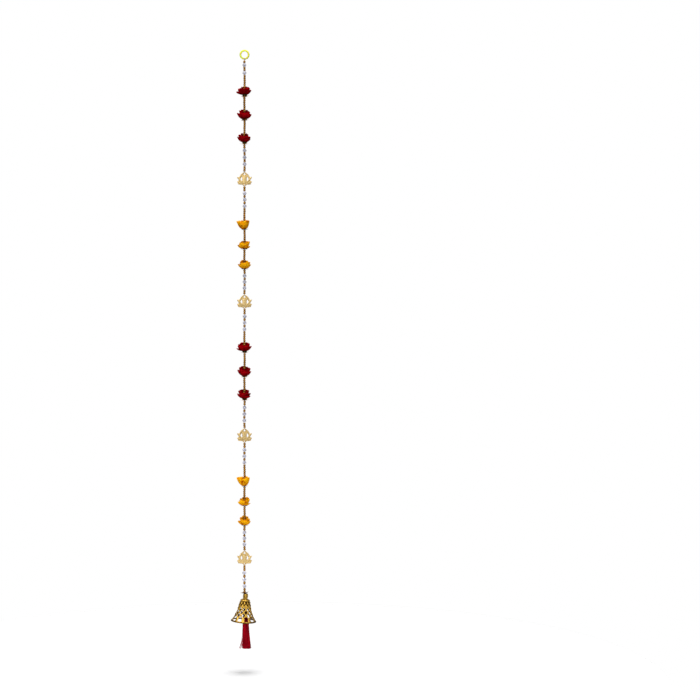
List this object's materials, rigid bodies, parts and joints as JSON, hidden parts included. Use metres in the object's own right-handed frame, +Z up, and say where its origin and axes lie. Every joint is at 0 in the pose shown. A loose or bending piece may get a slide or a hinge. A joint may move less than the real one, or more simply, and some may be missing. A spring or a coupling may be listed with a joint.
{
  "type": "toran door hanging",
  "caption": "Hanging strand of gold and clear beads with red and orange cloth flowers and openwork lotus charms, ending in a filigree bell with a tassel, hung by a ring.",
  "frame": {"origin": "inner top of the hanging ring, where it bears on what holds it up", "axes": "+Z up along the strand, -Y the front that the picture shows, +X to the right seen from the front"},
  "size_m": [0.0433, 0.0434, 1],
  "materials": {
    "lime_plastic": "translucent yellow-green moulded plastic",
    "antique_gold": "small round beads and stamped caps in antique gold",
    "clear_bead": "clear faceted beads with a faint lilac tint",
    "pale_gold": "stamped openwork plate in pale bright gold",
    "bell_gold": "cast openwork in yellow gold with dark hollows",
    "red_cloth": "deep red cloth petals",
    "orange_cloth": "marigold orange cloth petals",
    "calyx": "dark olive cloth calyx",
    "red_thread": "crimson silky thread"
  },
  "bodies": {
    "root": {"hanging_ring": "lime_plastic", "clear_first": "clear_bead", "gold_run_1": "antique_gold", "flower_1_1": "red_cloth", "calyx_1_1": "calyx", "cap_1_1": "antique_gold", "flower_1_2": "red_cloth", "calyx_1_2": "calyx", "cap_1_2": "antique_gold", "flower_1_3": "red_cloth", "calyx_1_3": "calyx", "cap_1_3": "antique_gold", "clear_above_1": "clear_bead", "gold_above_1": "antique_gold", "lotus_1": "pale_gold", "gold_below_1": "antique_gold", "clear_below_1": "clear_bead", "gold_run_2": "antique_gold", "flower_2_1": "orange_cloth", "calyx_2_1": "calyx", "flower_2_2": "orange_cloth", "calyx_2_2": "calyx", "flower_2_3": "orange_cloth", "calyx_2_3": "calyx", "clear_above_2": "clear_bead", "gold_above_2": "antique_gold", "lotus_2": "pale_gold", "gold_below_2": "antique_gold", "clear_below_2": "clear_bead", "gold_run_3": "antique_gold", "flower_3_1": "red_cloth", "calyx_3_1": "calyx", "cap_3_1": "antique_gold", "flower_3_2": "red_cloth", "calyx_3_2": "calyx", "cap_3_2": "antique_gold", "flower_3_3": "red_cloth", "calyx_3_3": "calyx", "cap_3_3": "antique_gold", "clear_above_3": "clear_bead", "gold_above_3": "antique_gold", "lotus_3": "pale_gold", "gold_below_3": "antique_gold", "clear_below_3": "clear_bead", "gold_run_4": "antique_gold", "flower_4_1": "orange_cloth", "calyx_4_1": "calyx", "flower_4_2": "orange_cloth", "calyx_4_2": "calyx", "flower_4_3": "orange_cloth", "calyx_4_3": "calyx", "clear_above_4": "clear_bead", "gold_above_4": "antique_gold", "lotus_4": "pale_gold", "gold_below_4": "antique_gold", "clear_below_4": "clear_bead", "gold_last": "antique_gold", "cap_bell": "antique_gold", "bell": "bell_gold", "tassel": "red_thread"}
  },
  "joints": []
}
